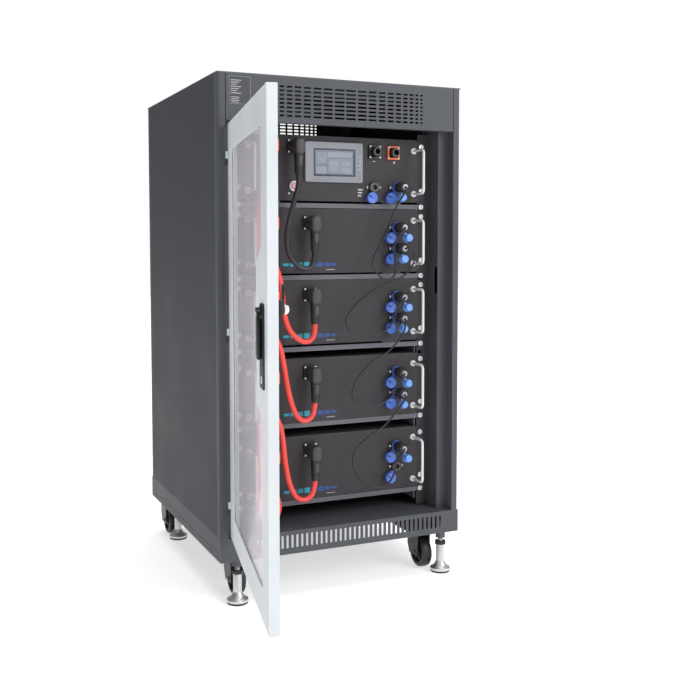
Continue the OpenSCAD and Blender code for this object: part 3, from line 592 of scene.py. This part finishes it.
def comm_socket(shape, x, z, ring):
    """Paints: 0 black, 1 bright, 2 blue, 3 pinkish grey."""
    shape.slab(40, 20, 3, (x, PANEL_Y - 2.5, z), 2.5, "y", 0, 0.5)
    shape.lathe([(6.6, 57.8), (6.6, 57), (9.8, 57), (10.5, 57.8), (10.5, 66), (6.6, 66)], (x, 0, z), "y", 3,
                closed=True)
    shape.lathe([(5.2, 61), (6.8, 61), (6.8, 66.4), (5.2, 66.4)], (x, 0, z), "y", 0, 24, closed=True)
    for dx in (-16, 16):
        shape.screw(x + dx, PANEL_Y - 2.4, z, 2.9, 1)
    shape.lathe([(10.6, 58.6), (10.6, 58), (12.8, 58), (13.4, 58.6), (13.4, 61.4), (12.8, 62), (10.6, 62)],
                (x, 0, z), "y", ring, closed=True)


def ribbed(r, depth, ribs, count=60):
    """A circle whose radius swells and shrinks once for each rib."""
    return [((r + depth * math.cos(ribs * a)) * math.cos(a), (r + depth * math.cos(ribs * a)) * math.sin(a))
            for a in (2 * math.pi * k / count for k in range(count))]


def comm_plug(shape, x, z):
    """A knurled coupling ring, its body and a bright gland nut; paints: 0 black, 1 bright."""
    shape.stack([(30.6, ribbed(9.4, 0.0, 15)), (31.4, ribbed(10.4, 0.0, 15)), (37, ribbed(10.8, 0.0, 15)),
                 (38, ribbed(11.5, 0.45, 15)), (39, ribbed(12.0, 0.5, 15)), (55, ribbed(12.0, 0.5, 15)),
                 (56.6, ribbed(11.2, 0.3, 15))], (x, 0, z), "y", 0)
    shape.lathe([(4.6, 19), (6.4, 19.2), (7.6, 21), (8.0, 23.4)], (x, 0, z), "y", 1, 24)
    shape.stack([(23.4, circle(8.0, 6)), (23.8, circle(8.5, 6)), (30.2, circle(8.5, 6)),
                 (30.8, circle(8.0, 6))], (x, 0, z), "y", 1)


def dust_cap(shape, x, z):
    """A round cap that hangs flat against the panel on a short strap; paints: 0 blue, 1 the slit, a dark tube
    of painted shade laid on the cap.
    """
    shape.lathe([(3, 50.9), (9.4, 50.7), (10.6, 50.0), (12.4, 50.0), (13, 50.7), (13, 54), (12.4, 54.6),
                 (12.4, 62), (11.8, 62.8), (4, 62.8)], (x, 0, z), "y", 0)
    slit = [(x - 9.5, 50.35, z + 6.2), (x - 5.5, 50.4, z + 3.6), (x - 1.5, 50.45, z + 1.0)]
    # The slit is a dark tube laid on the cap's face, painted shade
    shape.tube(slit, 1.25, 1, 8)


def hung_cap(shape, x, z, lean):
    """The cap that hangs below a plug and leans a little."""
    tilt = Matrix.Rotation(lean, 3, "Y") @ Matrix.Rotation(math.radians(-9), 3, "X")
    rings = []
    for r, s in ((3, -8.4), (7.6, -8.6), (8.9, -7.4), (9.2, -3), (8.5, -2.6), (8.5, 5.4), (9.2, 5.8),
                 (9.2, 8), (5, 8.2)):
        rings.append([Vector((x, 26, z)) + tilt @ Vector((a, s, b)) for a, b in ribbed(r, 0.12, 18, 36)])
    shape.loft(rings, 3)


def make_comm():
    sockets, plugs, caps = Shape(), Shape(), Shape()
    for x, z in COMM_USED + COMM_FREE:
        comm_socket(sockets, x, z, 0 if (x, z) in COMM_FREE else 2)
        free_left = x < 120
        aside = -9 if free_left else -19.5
        dust_cap(caps, x + aside, z - 25)
        strap = [(x + 0.4 * aside, 60, z - 11.5), (x + 0.7 * aside, 61, z - 13.2),
                 (x + 0.95 * aside, 60.6, z - 15)]
        caps.tube(strap, 3.1, 2, 10, 0.35)
    asides = (-5, 11, 11, 11, 11, 0, 0, 0)
    for (x, z), aside in zip(COMM_USED, asides):
        comm_plug(plugs, x, z)
        hung_cap(caps, x + aside, z - 25, math.radians(4 * (aside - 4)))
        caps.lathe([(12.7, 33.8), (12.7, 32.2), (13.8, 32.2), (13.8, 33.8)], (x, 0, z), "y", 1, 40,
                   closed=True)
        strap = [(x + 0.5 * aside, 33, z - 13), (x + 0.75 * aside, 32.4, z - 15.4), (x + aside, 30.5, z - 18)]
        caps.tube(strap, 2.6, 3, 10, 0.35)
    piece("comm_socket_set", sockets, "cabinet", [black_plastic, zinc, blue_plastic, socket_grey],
          stands_for=["comm_sockets"])
    piece("comm_plug_set", plugs, "cabinet", [black_plastic, gland_metal], stands_for=["comm_plugs"])
    piece("dust_cap_set", caps, "cabinet", [blue_plastic, painted_shade_black, blue_plastic, pale_blue],
          stands_for=["dust_caps"])


# ---------------------------------------------------------------- front panels

def make_handles():
    reach, bend, low_z, high_z = 51, 9, 20.5, 123.1
    front = PANEL_Y - reach
    shape = Shape()
    for side in (-1, 1):
        for unit in UNIT_Z:
            x, bottom, top = 210 * side, unit + low_z, unit + high_z
            path = [(x, PANEL_Y - 2, bottom)]
            for k in range(7):
                a = math.pi / 2 * k / 6
                path.append((x, front + bend - bend * math.sin(a), bottom + bend - bend * math.cos(a)))
            for k in range(7):
                a = math.pi / 2 * k / 6
                path.append((x, front + bend - bend * math.cos(a), top - bend + bend * math.sin(a)))
            path.append((x, PANEL_Y - 2, top))
            shape.tube(path, 3.2, 0, 18)
            for z in (bottom, top):
                shape.lathe([(5.2, PANEL_Y - 5), (6.4, PANEL_Y - 4.6), (6.8, PANEL_Y - 2.6),
                             (7.5, PANEL_Y - 2.2), (7.5, PANEL_Y)], (x, 0, z), "y", 0, 24)
    piece("handle_set", shape, "cabinet", [handle_silver], stands_for=["handles"])


# The middle of the screen's window
SCREEN_Z = UNIT_Z[0] + 89


def make_screen():
    """The operator panel: a stepped bezel, a dark frame and a display with plain generic tiles."""
    x0, x1, z0, z1 = -73, 73, UNIT_Z[0] + 43.1, UNIT_Z[0] + 135.8
    mid = Vector(((x0 + x1) / 2, 0, (z0 + z1) / 2))
    dx, dz = 1.0 - mid.x, SCREEN_Z - mid.z
    window = [(a + dx, b + dz) for a, b in round_rect(106, 64, 2)]
    step = [(a * 1.045 + 0.3, b * 1.055) for a, b in round_rect(118, 77, 3)]
    bezel = Shape()
    lift = 61
    bezel.stack([(lift + 1, round_rect(146, 92.7, 5)), (PANEL_Y, round_rect(146, 92.7, 5)), (PANEL_Y, window),
                 (lift + 0.9, window), (lift + 0.9, step),
                 (lift, round_rect(130, 82, 4)), (lift, round_rect(144.4, 91.1, 4.6))],
                mid, "y", 0, closed=True)
    for k in range(4):
        bezel.slab(5, 3.2, 1, (64.5, lift - 0.35, UNIT_Z[0] + 103 - 9.5 * k), 0.6, "y", 1, 0.15)
    bezel.slab(124, 71, 3, (1, PANEL_Y + 0.2, SCREEN_Z), 30, "y", 0, 1)
    x, z = -98.4, UNIT_Z[0] + 32.9
    bezel.lathe([(8.3, 62.6), (9.2, 61.8), (11.2, 61.8), (12, 62.8), (12, PANEL_Y), (8.3, PANEL_Y)],
                (x, 0, z), "y", 2, closed=True)
    for sx in (-111, -91):
        bezel.screw(sx, PANEL_Y, UNIT_Z[0] + 16.5, 2.4, 3)
    piece("screen_bezel", bezel, "cabinet", [bezel_grey, mark_pale, ring_white, zinc],
          stands_for=["hmi_bezel"])
    screen = Shape()
    outer, inner = round_rect(105.6, 63.6, 2), round_rect(97, 55.5, 1.2)
    screen.stack([(62.6, outer), (66, outer), (66, inner), (62.6, inner)], (1, 0, SCREEN_Z), "y", 1,
                 closed=True)
    screen.slab(98, 56.5, 1.2, (1, 63.3, SCREEN_Z), 2.4, "y", 0, 0.2)
    tiles = [(-33, 10, 26, 26, 2), (-33, -18, 26, 16, 3), (14, 18, 62, 12, 3), (14, -8, 62, 34, 2),
             (-2, -8, 20, 24, 3), (30, -3, 22, 10, 3), (30, -17, 22, 10, 3)]
    for tx, tz, w, h, paint in tiles:
        lift_y = 63.1 if paint == 2 else 62.95
        screen.slab(w, h, 1.5, (1 + tx, lift_y, SCREEN_Z + tz), 0.3, "y", paint, 0.05)
    piece("screen_display", screen, "cabinet", [screen_glass, screen_frame, tile_pale, tile_light],
          stands_for=["hmi_screen"])
    button = Shape()
    button.lathe([(3, 60.2), (6.6, 60.4), (7.4, 61.2), (7.5, 66.4), (5, 66.5), (5, 84)], (x, 0, z), "y", 0)
    piece("push_button", button, "power_button", [button_white], stands_for=["power_button"])


def make_marks():
    """Thin generic marks: polarity signs, short bars beside the first port, stripes and a plain plate."""
    marks = Shape()
    for i, (x, z) in enumerate(LOAD):
        marks.slab(7, 1.5, 0.6, (x - 1 + 5 * i, PANEL_Y - 0.25, z - 22.5), 0.4, "y", 0, 0.1)
        if i:
            marks.slab(1.5, 7, 0.6, (x - 1 + 5 * i, PANEL_Y - 0.27, z - 22.5), 0.4, "y", 0, 0.1)
    for k in range(3):
        marks.slab(13 - 2 * k, 2.6, 0.8, (69 - k, PANEL_Y - 0.25, UNIT_Z[0] + 28 - 7 * k), 0.4, "y", 0, 0.1)
    for z in UNIT_Z[1:]:
        for k in range(4):
            marks.slab(14, 6 + 2.2 * k, 1.4, (-119 + 17 * k, PANEL_Y - 0.2, z + 20), 0.3, "y", 1, 0.1)
            marks.slab(14, 12.6 - 2.2 * k, 1.4, (-51 + 17 * k, PANEL_Y - 0.2, z + 20), 0.3, "y", 2, 0.1)
        marks.slab(22, 1.4, 0.5, (-8, PANEL_Y - 0.2, z + 8), 0.3, "y", 3, 0.1)
    piece("panel_marks", marks, "cabinet", [mark_white, mark_teal, mark_blue, mark_pale])
    plate = Shape()
    px, pz = -249, 1027
    plate.slab(50, 60, 1.5, (px, -0.45, pz), 0.6, "y", 0, 0.1)
    plate.stack([(-0.55, round_rect(48.6, 58.6, 1.2)), (-0.3, round_rect(48.6, 58.6, 1.2)),
                 (-0.3, round_rect(47.6, 57.6, 1)), (-0.55, round_rect(47.6, 57.6, 1))], (px, 0, pz), "y", 1,
                closed=True)
    for k in range(7):
        plate.slab(24 - 5 * (k % 3), 1.5, 0.5, (px - 8.5 - 2.5 * (k % 3), -0.6, pz + 21 - 4.6 * k), 0.3,
                   "y", 1, 0.1)
    for k in range(4):
        plate.slab(20 - 4 * (k % 2), 1.3, 0.5, (px - 10.5, -0.6, pz - 15 - 3.6 * k), 0.3, "y", 1, 0.1)
    piece("blank_rating_plate", plate, "cabinet", [plate_dark, mark_pale])


# ---------------------------------------------------------------- lock

LOCK_U, LOCK_Z = 503, 590


def make_lock():
    plate = Shape()
    plate.stack([(-0.6, round_rect(41, 140, 7)), (0.6, round_rect(44, 143, 8)),
                 (1.9, round_rect(44, 143, 8))], (LOCK_U, 0, 529.5), "y", 0)
    plate.stack([(-1.2, round_rect(30, 78, 5)), (-0.4, round_rect(32, 80, 6)), (-0.4, round_rect(27, 75, 4)),
                 (-1.2, round_rect(28, 76, 4.4))], (LOCK_U, 0, 536), "y", 0, closed=True)
    plate.lathe([(5, -1.3), (6.4, -1.1), (6.8, -0.4)], (LOCK_U, 0, 474), "y", 1, 24)
    # The keyway is a near-black slab on the key cylinder, painted shade
    plate.slab(1.6, 7, 0.7, (LOCK_U, -1.5, 474), 0.6, "y", 2, 0.1)
    plate.slab(16.5, 28, 2.5, (LOCK_U + 0.75, 3.2, LOCK_Z), 26.8, "y", 0, 1.2)
    plate.slab(22, 28, 2, (LOCK_U + 20, 3.4, LOCK_Z + 4), 3, "y", 0, 0.6)
    plate.slab(6.4, 18, 1.5, (LOCK_U + 25, 3.4, LOCK_Z + 5), 23, "y", 0, 0.6)
    plate.lathe([(4.8, -8), (5.9, -7.4), (5.9, 17.4), (4.8, 18)], (LOCK_U + 25, 27, LOCK_Z), "z", 0, 24)
    piece("lock_plate", plate, "door", [lock_black, zinc, painted_shade_black], place=DOOR,
          stands_for=["lock_escutcheon"])
    cam = Shape()
    cam.lathe([(8.6, -2.9), (9.8, -2.3), (9.8, -1.2), (5, -0.9), (5, 31), (5, 34)],
              (LOCK_U, 0, LOCK_Z), "y", 0)
    for u in (-9.5, 9.5):
        cam.slab(3, 8, 1, (LOCK_U + u, -9, LOCK_Z), 8, "y", 0, 0.5)
    cam.lathe([(1.5, -11), (1.5, 11)], (LOCK_U, -6, LOCK_Z), "x", 1, 16)
    cam.stack([(34.2, round_rect(11, 50.5, 5)), (34.8, round_rect(12, 51.5, 5.5)),
               (37.4, round_rect(12, 51.5, 5.5)), (38, round_rect(11, 50.5, 5))],
              (LOCK_U, 0, LOCK_Z + 17.25), "y", 0)
    cam.lathe([(7.6, 31), (8.5, 31.6), (8.5, 34.0), (7.6, 34.15)], (LOCK_U, 0, LOCK_Z), "y", 2)
    cam.lathe([(8.3, 38.05), (8.3, 40), (6.4, 45), (3, 46.4)], (LOCK_U, 0, LOCK_Z), "y", 2)
    piece("lock_cam_arm", cam, "lock_cam", [lock_black, zinc, nylon_white], place=DOOR,
          stands_for=["lock_cam"])
    lever = Shape()
    outline = [(508, 7.5, 2.0, 1.0), (510, 10.5, 2.8, 2.0), (516, 11.8, 3.3, 3.0), (550, 12, 3.3, 3.0),
               (572, 11.6, 3.3, 3.0), (577, 8.6, 2.6, 2.4), (579, 7.4, 2.2, 2.0), (588, 7.4, 2.2, 2.0)]
    lever.stack([(w, [(a, b - 5.3 if w < 575 else b - 6.2) for a, b in round_rect(2 * hw, 2 * hv, r)])
                 for w, hw, hv, r in outline], (LOCK_U, 0, 0), "z", 0)
    lever.lathe([(2.0, -7.3), (2.8, -6.9), (2.8, 6.9), (2.0, 7.3)], (LOCK_U, -6, LOCK_Z), "x", 0, 24)
    piece("lock_handle", lever, "lock_lever", [lock_black], place=DOOR, stands_for=["lock_lever"])


# ---------------------------------------------------------------- feet and casters

CORNERS = ("front_left", "front_right", "rear_left", "rear_right")


def make_feet():
    for corner in CORNERS:
        lo, hi = low("foot_" + corner) / MM, high("foot_" + corner) / MM
        at = ((lo.x + hi.x) / 2, (lo.y + hi.y) / 2, 0)
        foot = Shape()
        foot.lathe([(21.5, 0), (23, 0.5), (23.2, 3.4), (22.6, 4.6), (12, 4.6)], at, "z", 1, 48)
        foot.lathe([(12, 4.6), (23.4, 4.6), (24, 5.2), (24, 9.6), (23.2, 10.8), (20, 12.6), (16.4, 15),
                    (13.6, 18.6), (11.6, 23), (10.2, 25.4), (9.7, 28), (9.6, 64.6), (8.8, 66.2), (6.2, 66.2)],
                   at, "z", 0, 48)
        foot.stack([(67, circle(13.4, 6)), (67.8, circle(14.6, 6)), (74.4, circle(14.6, 6)),
                    (75.2, circle(13.4, 6))], at, "z", 1)
        foot.lathe([(6.0, 66.2), (12.2, 66.4), (12.2, 67), (6, 67)], at, "z", 0, 32)
        thread = [(6.0 if k % 2 else 5.3, 75.2 + 0.75 * k) for k in range(66)]
        foot.lathe([(5.3, 66)] + thread + [(4.6, 125)], at, "z", 0, 24)
        piece("levelling_foot_" + corner, foot, "foot_" + corner, [zinc, wheel_black],
              place=Matrix.Scale(MM, 4), stands_for=["foot_" + corner], angle=28)


def make_wheels():
    for corner in CORNERS:
        lo, hi = low("wheel_" + corner) / MM, high("wheel_" + corner) / MM
        at = (lo + hi) / 2
        wheel = Shape()
        wheel.lathe([(27, -9.5), (28.5, -12), (34, -12), (36.6, -9.8), (37.5, -6), (37.5, -2), (37.1, -1.4),
                     (37.1, 1.4), (37.5, 2), (37.5, 6), (36.6, 9.8), (34, 12), (28.5, 12), (27, 9.5)],
                    at, "x", 0, 64, closed=True)
        wheel.lathe([(4.1, -13), (9.5, -13), (11, -11.6), (11.6, -5), (24.5, -5), (25.6, -10), (27.2, -10),
                     (27.2, 10), (25.6, 10), (24.5, 5), (11.6, 5), (11, 11.6), (9.5, 13), (4.1, 13)],
                    at, "x", 1, 48, closed=True)
        for k in range(6):
            a = math.pi / 3 * k
            way = Vector((0, math.cos(a), math.sin(a)))
            across = Vector((0, -math.sin(a), math.cos(a)))
            rings = []
            for r, half in ((10.5, 2.2), (25.4, 1.5)):
                rings.append([at + way * r + across * s * half + Vector((x, 0, 0))
                              for s, x in ((-1, -8.2), (1, -8.2), (1, 8.2), (-1, 8.2))])
            wheel.loft(rings, 1)
        piece("caster_wheel_" + corner, wheel, "wheel_" + corner, [wheel_black, hub_black],
              stands_for=["wheel_" + corner], place=Matrix.Scale(MM, 4))


for make in (make_power, make_comm, make_handles, make_screen, make_marks, make_lock, make_feet, make_wheels):
    make()

# Rim widths of the pressed and folded CAD parts, in metres
SOFT_RIMS = {
    "roof_panel": 0.0012, "side_panel_left": 0.0008, "side_panel_right": 0.0008, "base_frame": 0.0008,
    "header_panel": 0.0006, "corner_posts": 0.0006, "door_frame": 0.0007, "module_fronts": 0.0005,
    "control_unit_front": 0.0005, "module_shelves": 0.0005, "caster_plates": 0.0006, "rack_screws": 0.0004}
for soft_name, soft_width in SOFT_RIMS.items():
    soften(soft_name, soft_width)
for soft_corner in CORNERS:
    soften("fork_" + soft_corner, 0.0008)


# ---------------------------------------------------------------- floor and light

# The sky's brightness to the left and right, and the floor's own light close to the cabinet
SKY_LEFT = 0.06
SKY_RIGHT = 0.42
FLOOR_GLOW = 0.58
FLOOR_HALF = 12.0
# Name, place, aim, size in metres and power in watts
LIGHTS = (("key", (1.9, -3.4, 2.4), (0, 0, 0.7), 2.0, 74),
          ("fill", (-2.6, -3.4, 1.9), (0, 0, 0.6), 2.4, 10),
          ("top", (0.2, 0.6, 3.8), (0, 0.3, 0), 3.0, 120))


def studio():
    """A pale floor, a white backdrop whose light is dimmer on the left, and three large soft lights."""
    floor_mesh = bpy.data.meshes.new("floor")
    half = FLOOR_HALF
    floor_mesh.from_pydata([(-half, -half, 0), (half, -half, 0), (half, half, 0), (-half, half, 0)],
                           [], [(0, 1, 2, 3)])
    floor = bpy.data.objects.new("floor", floor_mesh)
    bpy.context.collection.objects.link(floor)
    paint, floor_tree, shader = material("floor_paint", (0.80, 0.80, 0.80), 0.7)
    shader.inputs["Specular IOR Level"].default_value = 0.0
    shader.inputs["Emission Strength"].default_value = 1.0
    away = node(floor_tree, "ShaderNodeVectorMath", operation="LENGTH")
    floor_tree.links.new(object_place(floor_tree), away.inputs[0])
    share = node(floor_tree, "ShaderNodeMath", operation="DIVIDE")
    floor_tree.links.new(away.outputs["Value"], share.inputs[0])
    share.inputs[1].default_value = half
    floor_tree.links.new(ramp(floor_tree, share.outputs[0], [(0.1, FLOOR_GLOW), (0.35, 1.0)]),
                         shader.inputs["Emission Color"])
    floor_mesh.materials.append(paint)
    world = bpy.data.worlds.new("studio")
    bpy.context.scene.world = world
    world.use_nodes = True
    tree = world.node_tree
    way = node(tree, "ShaderNodeSeparateXYZ")
    tree.links.new(node(tree, "ShaderNodeTexCoord").outputs["Generated"], way.inputs[0])
    sky = ramp(tree, shifted(tree, way.outputs["X"]), [(0.0, SKY_LEFT), (0.6, SKY_RIGHT)])
    seen = tree.nodes["Background"]
    seen.inputs["Color"].default_value = (1, 1, 1, 1)
    dim = node(tree, "ShaderNodeBackground")
    tree.links.new(sky, dim.inputs["Color"])
    either = node(tree, "ShaderNodeMixShader")
    tree.links.new(node(tree, "ShaderNodeLightPath").outputs["Is Camera Ray"], either.inputs[0])
    tree.links.new(dim.outputs[0], either.inputs[1])
    tree.links.new(seen.outputs[0], either.inputs[2])
    tree.links.new(either.outputs[0], tree.nodes["World Output"].inputs["Surface"])
    for name, place, aim, size, power in LIGHTS:
        light = bpy.data.lights.new(name, "AREA")
        light.size = size
        light.energy = power
        lamp = bpy.data.objects.new(name, light)
        lamp.location = place
        lamp.rotation_euler = (Vector(aim) - Vector(place)).to_track_quat("-Z", "Y").to_euler()
        bpy.context.collection.objects.link(lamp)


def shifted(tree, value):
    """Takes a direction's part from -1...1 to 0...1."""
    n = node(tree, "ShaderNodeMath", operation="MULTIPLY_ADD")
    tree.links.new(value, n.inputs[0])
    n.inputs[1].default_value = 0.5
    n.inputs[2].default_value = 0.5
    return n.outputs[0]


studio()
bpy.context.scene.view_settings.view_transform = "Standard"
